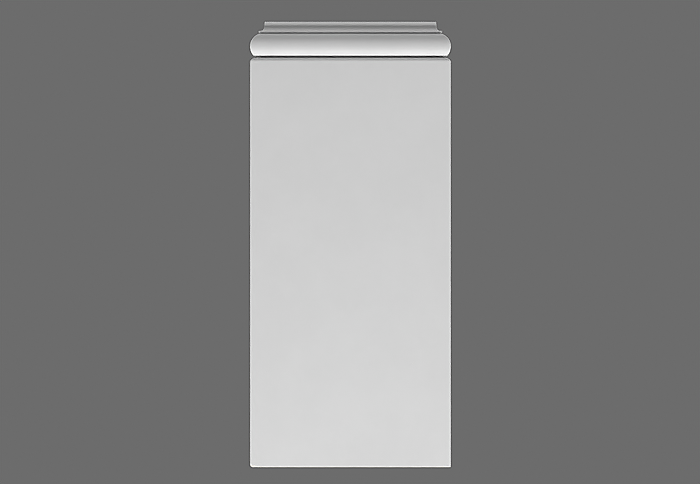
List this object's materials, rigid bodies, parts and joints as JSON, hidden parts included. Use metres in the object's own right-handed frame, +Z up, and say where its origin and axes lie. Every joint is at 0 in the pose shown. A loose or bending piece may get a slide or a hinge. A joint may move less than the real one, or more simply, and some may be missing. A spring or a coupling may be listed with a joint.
{
  "type": "pilaster base",
  "caption": "Tall plain plinth block with a torus, fillet and cavetto moulding returned to the wall on both sides, flat at the back, for the foot of a pilaster shaft.",
  "frame": {"origin": "middle of the underside's width and of the block's depth, on the floor plane", "axes": "+X across the width, +Y into the wall, -Y the front face, +Z up to the seat of the shaft"},
  "size_m": [0.14, 0.032, 0.3107],
  "materials": {
    "white_cast_plaster": "fine white casting plaster, smooth from the mould, sealed and left matt, with a few small pinholes"
  },
  "bodies": {
    "root": {"pilaster_base": "white_cast_plaster"}
  },
  "joints": []
}
